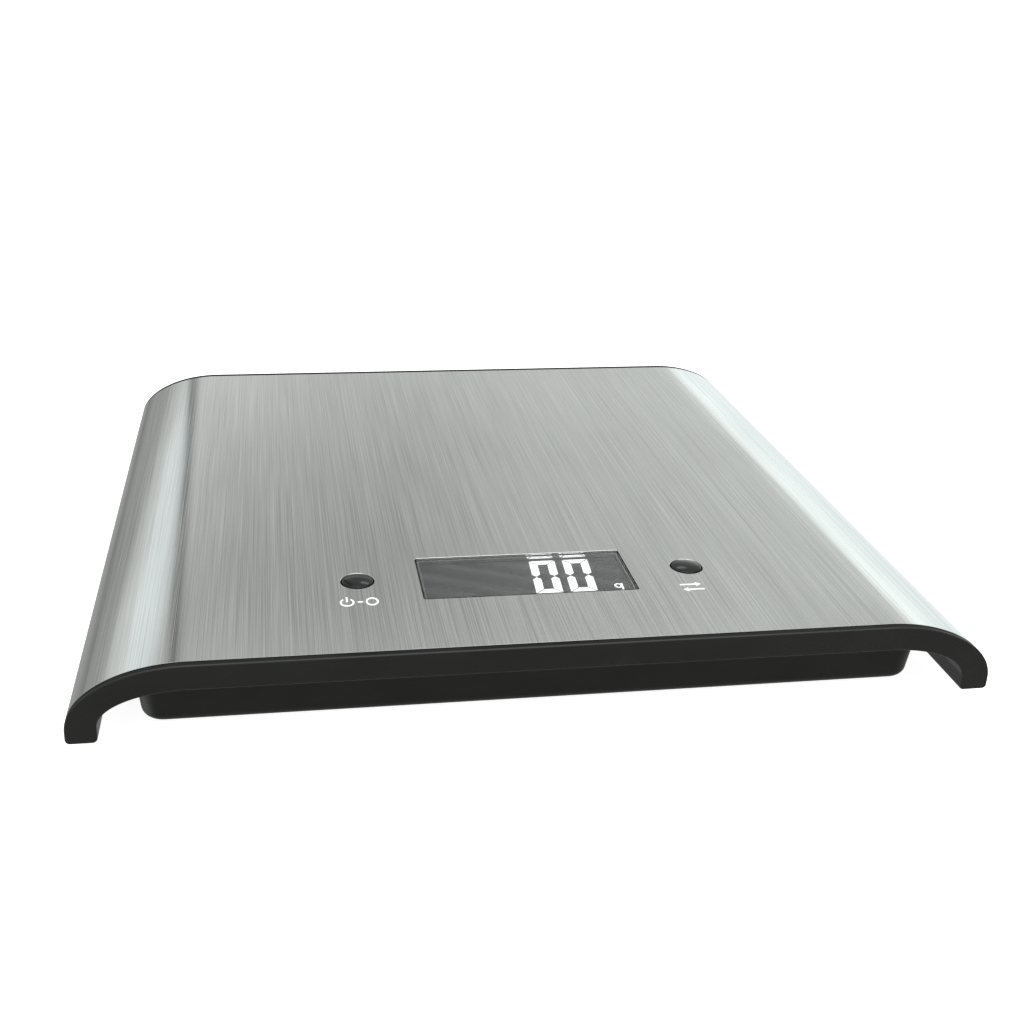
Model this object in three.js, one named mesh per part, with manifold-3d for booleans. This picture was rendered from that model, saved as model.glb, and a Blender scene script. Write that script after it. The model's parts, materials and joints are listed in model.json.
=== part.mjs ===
// Kitchen scale with an arched weighing platform, in millimetres, +Z up.
// The origin is at the middle of the footprint, on the surface that the scale stands on.
// The front, with the display and the two buttons, faces -Y.

import * as THREE from 'three';
import { mergeVertices } from 'three/addons/utils/BufferGeometryUtils.js';
import Module from 'manifold-3d';

const wasm = await Module();
wasm.setup();

// ---------------------------------------------------------------- driving dimensions

const WIDTH = 228;
const DEPTH = 212;
const FOOT_LIFT = 2;
const ARM_LIFT = 3.5;
const TOP_Z = 22.7;

// Arched outside of the platform: a flat top, then an elliptic shoulder on each side.
const FLAT_HALF = 85.6;
const SHOULDER_RX = WIDTH / 2 - FLAT_HALF;
const SHOULDER_Z = ARM_LIFT + 3.2;
const SHOULDER_RZ = TOP_Z - SHOULDER_Z;

// Arched underside of the platform.
const UNDERSIDE_Z = 16.2;
const INNER_FLAT_HALF = 86;
const INNER_RX = 20.6;
const INNER_RZ = 8.7;
const INNER_Z = UNDERSIDE_Z - INNER_RZ;
const ARM_CORNER_R = 1.2;
const EDGE_R = 0.8;
const ARC_STEPS = 10;

// Steel cover in its recess between the front and back lips.
const SHEET = 0.6;
const GLUE = 0.25;
const LIP = 2;
const GAP = 0.3;
const COVER_END_Z = ARM_LIFT + 1.2;
const DECK = 1.6;
const DECK_TOP_Z = TOP_Z - SHEET - GLUE;
const DECK_BOTTOM_Z = DECK_TOP_Z - DECK;
const POCKET_HALF_X = 90;
const POCKET_HALF_Y = 92;

// Controls, all on one line across the front of the platform.
const CONTROL_Y = -68;
const WINDOW_X = 56.4;
const WINDOW_Y = 23.2;
const WINDOW_CORNER_R = 0.8;
const LEDGE = 0.7;
const BUTTON_X = 44.3;
const BUTTON_HOLE_R = 4.4;
const BUTTON_R = 4.05;
const BUTTON_TRAVEL = 0.8;

// Display stack and circuit board, hung from the deck.
const PCB_TOP_Z = 13.6;
const PCB_THICK = 1.6;
const PCB_HALF_X = 56;
const PCB_HALF_Y = 19;
const PCB_SCREW_X = 51;
const PCB_SCREW_Y = 14.5;
const LCD_TOP_Z = 20.9;
const LCD_THICK = 2.4;
const LCD_X = 54.4;
const LCD_Y = 21.2;
const STRIP_WIDTH = 2.4;

// Base tray.
const BASE_HALF_X = 99.2;
const BASE_HALF_Y = 98.4;
const BASE_TOP_Z = 15.2;
const BASE_CLEARANCE = 1;
const BASE_CORNER_R = 5.7;
const BASE_EDGE_R = 2.4;
const WALL = 2;
const DRAFT = Math.tan(THREE.MathUtils.degToRad(6));
const FLOOR_TOP_Z = FOOT_LIFT + WALL;
const FOOT_R = 7;
const FOOT_X = 82;
const FOOT_Y = 78;
const FOOT_THICK = 2.7;
const STOP_X = 78;
const STOP_Y = 60;

// Load cell: a bar along Y, held by the base at its back and by the platform at its front.
// SAG_GAP is the room that the platform's pieces need to sink under load.
const CELL_WIDTH = 12;
const CELL_LENGTH = 75;
const CELL_HEIGHT = 11;
const CELL_Z = 5.5;
const CELL_BORE_R = 3.4;
const CELL_SCREW_Y = [22, 33];
const CELL_THREAD_R = 2.2;
const SAG_GAP = 0.7;
const PAD_TOP_Z = CELL_Z - GAP;
const PLATE_Z = CELL_Z + CELL_HEIGHT + SAG_GAP;
const PLATE_THICK = 1.5;
const PLATE_HALF_X = 50;
const PLATE_FRONT_Y = -46;
const PLATE_BACK_Y = -4;
const PLATE_SCREW_X = 44;
const PLATE_SCREW_Y = [-41, -9];

// Battery compartment, opened from below.
const BATTERY_X = 45;
const BATTERY_Y = 40;
const BATTERY_R = 10;
const BATTERY_THICK = 3.2;
const BATTERY_Z = 4.2;
const ROOM_HALF = 13;
const ROOM_TOP_Z = 9.6;
const DOOR_HALF_X = 16;
const DOOR_FRONT_Y = BATTERY_Y - 15;
const DOOR_BACK_Y = BATTERY_Y + 18;
const DOOR_THICK = 1.1;
const HOOK_REACH = 1.6;

// ---------------------------------------------------------------- materials

const PLASTIC = { color: 0x17191a, roughness: 0.32, metalness: 0 };
const RUBBER = { color: 0x101010, roughness: 0.85, metalness: 0 };
const BRUSHED = { color: 0xb4b5b0, roughness: 0.34, metalness: 1 };
const PLATED = { color: 0xc2c3c4, roughness: 0.25, metalness: 1 };
const ALLOY = { color: 0xa9acb0, roughness: 0.4, metalness: 1 };
const CLEAR = { color: 0x3c4042, roughness: 0.04, metalness: 0 };
const LCD_GLASS = { color: 0x2c2f31, roughness: 0.12, metalness: 0 };
const WHITE = { color: 0xe8e8e4, roughness: 0.5, metalness: 0 };
const BOARD = { color: 0x1f5a34, roughness: 0.45, metalness: 0 };
const WIRE_RED = { color: 0xa81c1c, roughness: 0.5, metalness: 0 };
const WIRE_BLACK = { color: 0x141414, roughness: 0.5, metalness: 0 };
const WIRE_GREY = { color: 0x8c8f91, roughness: 0.5, metalness: 0 };

// ---------------------------------------------------------------- solids

function toSolid(geometry) {
  const bare = geometry.clone();
  bare.deleteAttribute('normal');
  bare.deleteAttribute('uv');
  const welded = mergeVertices(bare, 1e-4);
  const mesh = new wasm.Mesh({
    numProp: 3,
    vertProperties: new Float32Array(welded.attributes.position.array),
    triVerts: new Uint32Array(welded.index.array),
  });
  return new wasm.Manifold(mesh);
}

function toGeometry(solid) {
  const { vertProperties, triVerts, numProp } = solid.getMesh();
  const points = [];
  for (let i = 0; i < vertProperties.length; i += numProp) {
    points.push(vertProperties[i], vertProperties[i + 1], vertProperties[i + 2]);
  }
  const geometry = new THREE.BufferGeometry();
  geometry.setAttribute('position', new THREE.Float32BufferAttribute(points, 3));
  geometry.setIndex(Array.from(triVerts));
  geometry.computeVertexNormals();
  return geometry;
}

function box([x0, x1], [y0, y1], [z0, z1]) {
  const geometry = new THREE.BoxGeometry(x1 - x0, y1 - y0, z1 - z0);
  return toSolid(geometry.translate((x0 + x1) / 2, (y0 + y1) / 2, (z0 + z1) / 2));
}

// A round bar standing along Z.
function bar(radius, [z0, z1], [x, y], sides = 20) {
  const geometry = new THREE.CylinderGeometry(radius, radius, z1 - z0, sides);
  geometry.rotateX(Math.PI / 2);
  return toSolid(geometry.translate(x, y, (z0 + z1) / 2));
}

// A turned piece standing along Z: profile points are [radius, height] from the bottom up.
function turned(profile, [x, y], sides = 28) {
  const points = profile.map(([r, z]) => new THREE.Vector2(r, z));
  const geometry = new THREE.LatheGeometry(points, sides);
  geometry.rotateX(Math.PI / 2);
  return toSolid(geometry.translate(x, y, 0));
}

function roundedRectangle(halfX, halfY, radius) {
  const shape = new THREE.Shape();
  const x = halfX - radius;
  const y = halfY - radius;
  shape.absarc(x, -y, radius, -Math.PI / 2, 0, false);
  shape.absarc(x, y, radius, 0, Math.PI / 2, false);
  shape.absarc(-x, y, radius, Math.PI / 2, Math.PI, false);
  shape.absarc(-x, -y, radius, Math.PI, Math.PI * 1.5, false);
  shape.closePath();
  return shape;
}

// A plate with rounded corners, standing from z0 to z1 around the point [x, y].
function plate(halfX, halfY, radius, [z0, z1], [x, y], curveSegments = 4) {
  const shape = roundedRectangle(halfX, halfY, radius);
  const geometry = new THREE.ExtrudeGeometry(shape, { depth: z1 - z0, bevelEnabled: false, curveSegments });
  return toSolid(geometry.translate(x, y, z0));
}

// An outline in the X-Z plane, extruded along Y to +-half.
function alongY(shape, half, options) {
  const geometry = new THREE.ExtrudeGeometry(shape, { depth: 2 * half, bevelEnabled: false, ...options });
  geometry.rotateX(Math.PI / 2);
  return geometry.translate(0, half, 0);
}

function corners(x, y) {
  return [[-x, -y], [x, -y], [-x, y], [x, y]];
}

// ---------------------------------------------------------------- the object's tree

const scale = new THREE.Group();

function addPart(name, solid, finish) {
  const mesh = new THREE.Mesh(toGeometry(solid), new THREE.MeshStandardMaterial(finish));
  mesh.name = name;
  scale.add(mesh);
}

// ---------------------------------------------------------------- platform

function archOutline() {
  const shape = new THREE.Shape();
  const outer = WIDTH / 2;
  const inner = INNER_FLAT_HALF + INNER_RX;
  const r = ARM_CORNER_R;
  shape.moveTo(inner + r, ARM_LIFT);
  shape.absarc(outer - r, ARM_LIFT + r, r, -Math.PI / 2, 0, false);
  shape.absellipse(FLAT_HALF, SHOULDER_Z, SHOULDER_RX, SHOULDER_RZ, 0, Math.PI / 2, false);
  shape.absellipse(-FLAT_HALF, SHOULDER_Z, SHOULDER_RX, SHOULDER_RZ, Math.PI / 2, Math.PI, false);
  shape.absarc(-outer + r, ARM_LIFT + r, r, Math.PI, Math.PI * 1.5, false);
  shape.absarc(-inner - r, ARM_LIFT + r, r, -Math.PI / 2, 0, false);
  shape.absellipse(-INNER_FLAT_HALF, INNER_Z, INNER_RX, INNER_RZ, Math.PI, Math.PI / 2, true);
  shape.absellipse(INNER_FLAT_HALF, INNER_Z, INNER_RX, INNER_RZ, Math.PI / 2, 0, true);
  shape.absarc(inner + r, ARM_LIFT + r, r, Math.PI, Math.PI * 1.5, false);
  return shape;
}

// The band between two curves parallel to the arched outside, at two depths below it.
function archBand(outerDepth, innerDepth, endZ) {
  const shape = new THREE.Shape();
  const outer = [SHOULDER_RX - outerDepth, SHOULDER_RZ - outerDepth];
  const inner = [SHOULDER_RX - innerDepth, SHOULDER_RZ - innerDepth];
  shape.moveTo(WIDTH / 2 - outerDepth, endZ);
  shape.absellipse(FLAT_HALF, SHOULDER_Z, ...outer, 0, Math.PI / 2, false);
  shape.absellipse(-FLAT_HALF, SHOULDER_Z, ...outer, Math.PI / 2, Math.PI, false);
  shape.lineTo(-WIDTH / 2 + outerDepth, endZ);
  shape.lineTo(-WIDTH / 2 + innerDepth, endZ);
  shape.absellipse(-FLAT_HALF, SHOULDER_Z, ...inner, Math.PI, Math.PI / 2, true);
  shape.absellipse(FLAT_HALF, SHOULDER_Z, ...inner, Math.PI / 2, 0, true);
  shape.lineTo(WIDTH / 2 - innerDepth, endZ);
  shape.closePath();
  return shape;
}

function cutControls(solid, [z0, z1]) {
  let cut = solid.subtract(
    plate(WINDOW_X / 2, WINDOW_Y / 2, WINDOW_CORNER_R, [z0, z1], [0, CONTROL_Y]),
  );
  for (const x of [-BUTTON_X, BUTTON_X]) {
    cut = cut.subtract(bar(BUTTON_HOLE_R, [z0, z1], [x, CONTROL_Y], 32));
  }
  return cut;
}

function platformFrame() {
  const bevel = {
    depth: DEPTH - 2 * EDGE_R,
    curveSegments: ARC_STEPS,
    bevelEnabled: true,
    bevelThickness: EDGE_R,
    bevelSize: EDGE_R,
    bevelOffset: -EDGE_R,
    bevelSegments: 2,
  };
  let frame = toSolid(alongY(archOutline(), DEPTH / 2 - EDGE_R, bevel));
  const recess = archBand(-5, SHEET + GLUE, COVER_END_Z - 0.2);
  frame = frame.subtract(toSolid(alongY(recess, DEPTH / 2 - LIP, { curveSegments: ARC_STEPS })));
  frame = frame.subtract(
    box([-POCKET_HALF_X, POCKET_HALF_X], [-POCKET_HALF_Y, POCKET_HALF_Y], [0, DECK_BOTTOM_Z]),
  );
  const ledgeZ = DECK_TOP_Z - 0.5;
  frame = cutControls(frame, [ledgeZ, TOP_Z + 1]);
  frame = frame.subtract(plate(
    WINDOW_X / 2 - LEDGE, WINDOW_Y / 2 - LEDGE, WINDOW_CORNER_R, [DECK_BOTTOM_Z - 1, TOP_Z], [0, CONTROL_Y],
  ));
  for (const x of [-BUTTON_X, BUTTON_X]) {
    frame = frame.subtract(bar(BUTTON_HOLE_R, [DECK_BOTTOM_Z - 1, TOP_Z], [x, CONTROL_Y], 32));
  }
  const boardBosses = corners(PCB_SCREW_X, PCB_SCREW_Y).map(([x, y]) => [x, y + CONTROL_Y, PCB_TOP_Z + GAP]);
  const plateBosses = [];
  for (const x of [-PLATE_SCREW_X, PLATE_SCREW_X]) {
    for (const y of PLATE_SCREW_Y) {
      plateBosses.push([x, y, PLATE_Z + PLATE_THICK + GAP]);
    }
  }
  for (const [x, y, z] of [...boardBosses, ...plateBosses]) {
    frame = frame.add(bar(3.4, [z, DECK_BOTTOM_Z + 0.4], [x, y]));
    frame = frame.subtract(bar(1.7, [z - 1, DECK_BOTTOM_Z - 0.1], [x, y], 12));
  }
  return frame;
}

function steelCover() {
  const band = archBand(0, SHEET, COVER_END_Z);
  const sheet = toSolid(alongY(band, DEPTH / 2 - LIP - 0.2, { curveSegments: ARC_STEPS }));
  return cutControls(sheet, [TOP_Z - 3, TOP_Z + 1]);
}

function platformParts() {
  addPart('platform_frame', platformFrame(), PLASTIC);
  addPart('steel_cover', steelCover(), BRUSHED);
}

// ---------------------------------------------------------------- display

function displayParts() {
  const at = [0, CONTROL_Y];
  const lens = plate(
    WINDOW_X / 2 - GAP, WINDOW_Y / 2 - GAP, WINDOW_CORNER_R - 0.2, [DECK_TOP_Z - 0.3, TOP_Z - 0.05], at,
  );
  addPart('display_lens', lens, CLEAR);

  const lcdZ = LCD_TOP_Z - LCD_THICK;
  addPart('lcd_panel', plate(LCD_X / 2, LCD_Y / 2, 0.4, [lcdZ, LCD_TOP_Z], at, 2), LCD_GLASS);

  const guideBack = CONTROL_Y + LCD_Y / 2 - STRIP_WIDTH - GAP;
  const guide = box(
    [-LCD_X / 2, LCD_X / 2], [CONTROL_Y - LCD_Y / 2, guideBack], [lcdZ - 2.3, lcdZ - GAP],
  );
  addPart('backlight_guide', guide, WHITE);

  const strip = box(
    [-24, 24], [guideBack + GAP, CONTROL_Y + LCD_Y / 2], [PCB_TOP_Z + 0.1, lcdZ - 0.1],
  );
  addPart('lcd_contact_strip', strip, RUBBER);

  const holderZ = [PCB_TOP_Z + 0.1, DECK_BOTTOM_Z - GAP];
  const holder = plate(30, 13.4, 1, holderZ, at).subtract(
    plate(LCD_X / 2 + GAP, LCD_Y / 2 + GAP, 0.4, [0, TOP_Z], at, 2),
  );
  addPart('lcd_holder', holder, WHITE);
}

// ---------------------------------------------------------------- buttons

// The button's cap has a domed top, a retaining flange under the deck, and a stem.
function buttonCap(x) {
  const flangeTop = DECK_BOTTOM_Z - 0.35;
  const domeEdge = TOP_Z - 0.1;
  const domeRise = 0.75;
  const profile = [
    [0, flangeTop - 1.1], [1.6, flangeTop - 1.1], [1.6, flangeTop - 0.8], [5.2, flangeTop - 0.8],
    [5.2, flangeTop], [BUTTON_R, flangeTop], [BUTTON_R, domeEdge],
  ];
  const steps = 5;
  for (let i = 1; i <= steps; i += 1) {
    const angle = (i / steps) * (Math.PI / 2);
    profile.push([BUTTON_R * Math.cos(angle), domeEdge + domeRise * Math.sin(angle)]);
  }
  profile[profile.length - 1][0] = 0;
  return turned(profile, [x, CONTROL_Y], 24);
}

function switchParts(prefix, x) {
  const bodyZ = PCB_TOP_Z + 0.1;
  const bodyTop = bodyZ + 3.4;
  const body = box([x - 3, x + 3], [CONTROL_Y - 3, CONTROL_Y + 3], [bodyZ, bodyTop]).subtract(
    bar(1.9, [bodyZ + 0.6, bodyTop + 1], [x, CONTROL_Y]),
  );
  addPart(`${prefix}_switch`, body, WIRE_BLACK);
  const stemBottom = DECK_BOTTOM_Z - 0.35 - 1.1;
  const plunger = bar(1.6, [bodyZ + 0.6 + BUTTON_TRAVEL + 0.2, stemBottom - 0.05], [x, CONTROL_Y]);
  addPart(`${prefix}_switch_plunger`, plunger, WHITE);
}

function buttonParts() {
  for (const [prefix, x] of [['on_zero', -BUTTON_X], ['unit', BUTTON_X]]) {
    addPart(`${prefix}_button`, buttonCap(x), PLASTIC);
    switchParts(prefix, x);
  }
}

// ---------------------------------------------------------------- circuit board

function screw([x, y], shaftR, headR, [headZ0, headZ1], tipZ) {
  const head = bar(headR, [headZ0, headZ1], [x, y], 14);
  const up = tipZ > headZ1;
  const shaft = bar(shaftR, up ? [headZ0 + 0.5, tipZ] : [tipZ, headZ1 - 0.5], [x, y], 10);
  const slot = box(
    [x - headR * 0.6, x + headR * 0.6], [y - 0.35, y + 0.35],
    up ? [headZ0 - 1, headZ0 + 0.5] : [headZ1 - 0.5, headZ1 + 1],
  );
  const cross = box(
    [x - 0.35, x + 0.35], [y - headR * 0.6, y + headR * 0.6],
    up ? [headZ0 - 1, headZ0 + 0.5] : [headZ1 - 0.5, headZ1 + 1],
  );
  return head.add(shaft).subtract(slot).subtract(cross);
}

function boardParts() {
  const boardZ = PCB_TOP_Z - PCB_THICK;
  const places = corners(PCB_SCREW_X, PCB_SCREW_Y).map(([x, y]) => [x, y + CONTROL_Y]);
  let board = plate(PCB_HALF_X, PCB_HALF_Y, 2, [boardZ, PCB_TOP_Z], [0, CONTROL_Y]);
  for (const place of places) {
    board = board.subtract(bar(1.7, [0, TOP_Z], place, 12));
  }
  addPart('circuit_board', board, BOARD);
  places.forEach((place, i) => {
    const pcbScrew = screw(place, 1.3, 2.6, [boardZ - 1.8, boardZ - 0.1], DECK_BOTTOM_Z - 1);
    addPart(`board_screw_${i + 1}`, pcbScrew, PLATED);
  });
  const chip = box([-5, 5], [CONTROL_Y - 5, CONTROL_Y + 5], [boardZ - 1.6, boardZ - 0.1]);
  addPart('control_chip', chip, WIRE_BLACK);
  const socket = box([-26, -16], [CONTROL_Y + 11, CONTROL_Y + 17], [boardZ - 3.4, boardZ - 0.1]);
  addPart('cell_cable_socket', socket, WHITE);
}

// ---------------------------------------------------------------- load cell

function loadCellParts() {
  const half = CELL_WIDTH / 2;
  const middle = CELL_Z + CELL_HEIGHT / 2;
  let cell = box([-half, half], [-CELL_LENGTH / 2, CELL_LENGTH / 2], [CELL_Z, CELL_Z + CELL_HEIGHT]);
  for (const y of [-8, 8]) {
    const bore = new THREE.CylinderGeometry(CELL_BORE_R, CELL_BORE_R, CELL_WIDTH + 2, 20);
    bore.rotateZ(Math.PI / 2);
    cell = cell.subtract(toSolid(bore.translate(0, y, middle)));
  }
  cell = cell.subtract(box([-half - 1, half + 1], [-8, 8], [middle - 1.2, middle + 1.2]));
  for (const y of CELL_SCREW_Y) {
    cell = cell.subtract(bar(CELL_THREAD_R, [CELL_Z - 1, CELL_Z + CELL_HEIGHT + 1], [0, y], 16));
    cell = cell.subtract(bar(CELL_THREAD_R, [CELL_Z - 1, CELL_Z + CELL_HEIGHT + 1], [0, -y], 16));
  }
  addPart('load_cell', cell, ALLOY);

  let spreader = plate(
    PLATE_HALF_X, (PLATE_BACK_Y - PLATE_FRONT_Y) / 2, 4, [PLATE_Z, PLATE_Z + PLATE_THICK],
    [0, (PLATE_FRONT_Y + PLATE_BACK_Y) / 2],
  );
  for (const y of CELL_SCREW_Y) {
    spreader = spreader.subtract(bar(2.3, [0, TOP_Z], [0, -y], 16));
  }
  const plateScrews = [];
  for (const x of [-PLATE_SCREW_X, PLATE_SCREW_X]) {
    for (const y of PLATE_SCREW_Y) {
      spreader = spreader.subtract(bar(1.7, [0, TOP_Z], [x, y], 12));
      plateScrews.push([x, y]);
    }
  }
  addPart('platform_plate', spreader, PLATED);
  plateScrews.forEach((place, i) => {
    const plateScrew = screw(place, 1.3, 2.8, [PLATE_Z - 1.8, PLATE_Z - 0.1], DECK_BOTTOM_Z - 0.5);
    addPart(`plate_screw_${i + 1}`, plateScrew, PLATED);
  });
  CELL_SCREW_Y.forEach((y, i) => {
    const plateTop = PLATE_Z + PLATE_THICK;
    const front = screw([0, -y], 1.9, 3.4, [plateTop + 0.1, plateTop + 1.25], CELL_Z + 2);
    addPart(`cell_screw_front_${i + 1}`, front, PLATED);
    const back = screw([0, y], 1.9, 3.4, [FOOT_LIFT + 0.4, PAD_TOP_Z - 1.3], CELL_Z + CELL_HEIGHT - 2);
    addPart(`cell_screw_back_${i + 1}`, back, PLATED);
  });
}

// ---------------------------------------------------------------- base tray

// A tray-shaped block whose sides lean in towards the bottom, with rounded bottom edges.
function leaningBlock(inset, bottomZ, topZ, edgeR) {
  const shape = roundedRectangle(BASE_HALF_X - inset, BASE_HALF_Y - inset, BASE_CORNER_R - inset);
  const geometry = new THREE.ExtrudeGeometry(shape, {
    depth: topZ - bottomZ,
    curveSegments: 5,
    bevelEnabled: true,
    bevelThickness: edgeR,
    bevelSize: edgeR,
    bevelOffset: -edgeR,
    bevelSegments: 3,
  });
  geometry.translate(0, 0, bottomZ + edgeR);
  const points = geometry.attributes.position;
  for (let i = 0; i < points.count; i += 1) {
    const lean = (BASE_TOP_Z - points.getZ(i)) * DRAFT;
    points.setX(i, points.getX(i) * (1 - lean / BASE_HALF_X));
    points.setY(i, points.getY(i) * (1 - lean / BASE_HALF_Y));
  }
  const far = 200;
  return toSolid(geometry).subtract(box([-far, far], [-far, far], [topZ, topZ + far]));
}

// Everything above a curve that runs parallel to the platform's arched underside, just below it.
function spaceUnderArch() {
  const shape = new THREE.Shape();
  const z = INNER_Z - BASE_CLEARANCE;
  const end = INNER_FLAT_HALF + INNER_RX;
  shape.moveTo(end, z);
  shape.lineTo(end, TOP_Z);
  shape.lineTo(-end, TOP_Z);
  shape.lineTo(-end, z);
  shape.absellipse(-INNER_FLAT_HALF, z, INNER_RX, INNER_RZ, Math.PI, Math.PI / 2, true);
  shape.absellipse(INNER_FLAT_HALF, z, INNER_RX, INNER_RZ, Math.PI / 2, 0, true);
  return toSolid(alongY(shape, DEPTH / 2, { curveSegments: ARC_STEPS }));
}

function baseTray() {
  const overTop = BASE_TOP_Z + 10;
  let tray = leaningBlock(0, FOOT_LIFT, BASE_TOP_Z, BASE_EDGE_R);
  tray = tray.subtract(leaningBlock(WALL, FLOOR_TOP_Z, overTop, 1));
  tray = tray.subtract(spaceUnderArch());
  tray = tray.add(box([-15, 15], [14, 42], [FLOOR_TOP_Z - 1, PAD_TOP_Z]));
  for (const y of CELL_SCREW_Y) {
    tray = tray.subtract(bar(2.3, [0, TOP_Z], [0, y], 16));
    tray = tray.subtract(bar(3.9, [0, PAD_TOP_Z - 1.1], [0, y], 20));
  }
  for (const place of corners(STOP_X, STOP_Y)) {
    tray = tray.add(bar(3.5, [FLOOR_TOP_Z - 1, DECK_BOTTOM_Z - 0.6], place));
  }
  for (const place of corners(FOOT_X, FOOT_Y)) {
    tray = tray.subtract(bar(FOOT_R + 0.3, [0, FOOT_THICK + 0.2], place, 28));
  }
  return cutBatteryRoom(tray);
}

function cutBatteryRoom(tray) {
  const room = ROOM_HALF;
  const wall = 1.4;
  const at = [BATTERY_X, BATTERY_Y];
  let cut = tray.add(plate(room + wall, room + wall, 3, [FLOOR_TOP_Z - 1, ROOM_TOP_Z + wall], at));
  cut = cut.subtract(plate(room, room, 2, [0, ROOM_TOP_Z], at));
  cut = cut.subtract(box(
    [BATTERY_X - DOOR_HALF_X, BATTERY_X + DOOR_HALF_X], [DOOR_FRONT_Y, DOOR_BACK_Y],
    [0, FOOT_LIFT + DOOR_THICK + 0.2],
  ));
  // Pockets in front of the door, over a thin lip, that its two hooks turn in.
  for (const side of [-1, 1]) {
    const x = BATTERY_X + side * 9;
    cut = cut.subtract(box(
      [x - 2.8, x + 2.8],
      [DOOR_FRONT_Y - HOOK_REACH - 0.6, DOOR_FRONT_Y + 1],
      [FOOT_LIFT + 0.35, FLOOR_TOP_Z + 0.4],
    ));
  }
  // A thumb scoop behind the door.
  cut = cut.subtract(box(
    [BATTERY_X - 6, BATTERY_X + 6], [DOOR_BACK_Y - 1, DOOR_BACK_Y + 3], [0, FOOT_LIFT + 0.9],
  ));
  // Slots in the roof for the contacts' tabs.
  for (const side of [-1, 1]) {
    const x = BATTERY_X + side * 11;
    cut = cut.subtract(box(
      [x - 0.6, x + 0.6], [BATTERY_Y - 3.4, BATTERY_Y + 3.4], [ROOM_TOP_Z - 1, ROOM_TOP_Z + 4],
    ));
  }
  return cut;
}

function baseParts() {
  addPart('base_tray', baseTray(), PLASTIC);
  const names = ['front_left', 'front_right', 'back_left', 'back_right'];
  corners(FOOT_X, FOOT_Y).forEach((place, i) => {
    const profile = [[0, 0], [FOOT_R - 0.8, 0], [FOOT_R - 0.2, 0.6], [FOOT_R, FOOT_THICK], [0, FOOT_THICK]];
    addPart(`foot_${names[i]}`, turned(profile, place), RUBBER);
  });
}

// ---------------------------------------------------------------- battery and its door

function batteryParts() {
  const top = BATTERY_Z + BATTERY_THICK;
  const coin = [[0, BATTERY_Z], [8.6, BATTERY_Z], [8.8, BATTERY_Z + 0.4], [BATTERY_R, BATTERY_Z + 0.6],
    [BATTERY_R, top], [0, top]];
  addPart('coin_cell', turned(coin, [BATTERY_X, BATTERY_Y]), PLATED);

  // Contact under the roof, bent up through a slot at its end.
  const y = [BATTERY_Y - 3, BATTERY_Y + 3];
  const tabX = BATTERY_X - 11;
  const leaf = box([tabX - 0.2, BATTERY_X + 4], y, [ROOM_TOP_Z - 0.9, ROOM_TOP_Z - 0.5]);
  const leafTab = box([tabX - 0.2, tabX + 0.2], y, [ROOM_TOP_Z - 0.9, ROOM_TOP_Z + 2.8]);
  const dimple = bar(1.5, [top + 0.1, ROOM_TOP_Z - 0.7], [BATTERY_X, BATTERY_Y]);
  addPart('battery_contact_centre', leaf.add(leafTab).add(dimple), PLATED);

  // Contact against the coin's rim.
  const rimX = BATTERY_X + 11;
  const rim = box([rimX - 0.2, rimX + 0.2], y, [BATTERY_Z, ROOM_TOP_Z + 2.8]);
  addPart('battery_contact_rim', rim, PLATED);
}

function doorParts() {
  const x = [BATTERY_X - DOOR_HALF_X + GAP, BATTERY_X + DOOR_HALF_X - GAP];
  const y = [DOOR_FRONT_Y + GAP, DOOR_BACK_Y - GAP];
  const top = FOOT_LIFT + DOOR_THICK;
  let door = box(x, y, [FOOT_LIFT, top]);
  for (const side of [-1, 1]) {
    const hookX = BATTERY_X + side * 9;
    door = door.add(box(
      [hookX - 2.5, hookX + 2.5], [DOOR_FRONT_Y - HOOK_REACH, DOOR_FRONT_Y + 1], [FOOT_LIFT + 0.6, top],
    ));
  }
  for (let i = 0; i < 5; i += 1) {
    const groove = DOOR_BACK_Y - 3 - i * 1.6;
    door = door.subtract(box(
      [BATTERY_X - 6, BATTERY_X + 6], [groove - 0.35, groove + 0.35], [0, FOOT_LIFT + 0.4],
    ));
  }
  addPart('battery_door', door, PLASTIC);
}

// ---------------------------------------------------------------- wires

// A wire of round section along a smooth path of hand-placed points.
function wire(radius, points, steps) {
  const curve = new THREE.CatmullRomCurve3(points.map((p) => new THREE.Vector3(...p)));
  const section = new THREE.Shape();
  section.absarc(0, 0, radius, 0, Math.PI * 2, false);
  const options = { steps, extrudePath: curve, curveSegments: 4, bevelEnabled: false };
  return toSolid(new THREE.ExtrudeGeometry(section, options));
}

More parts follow.
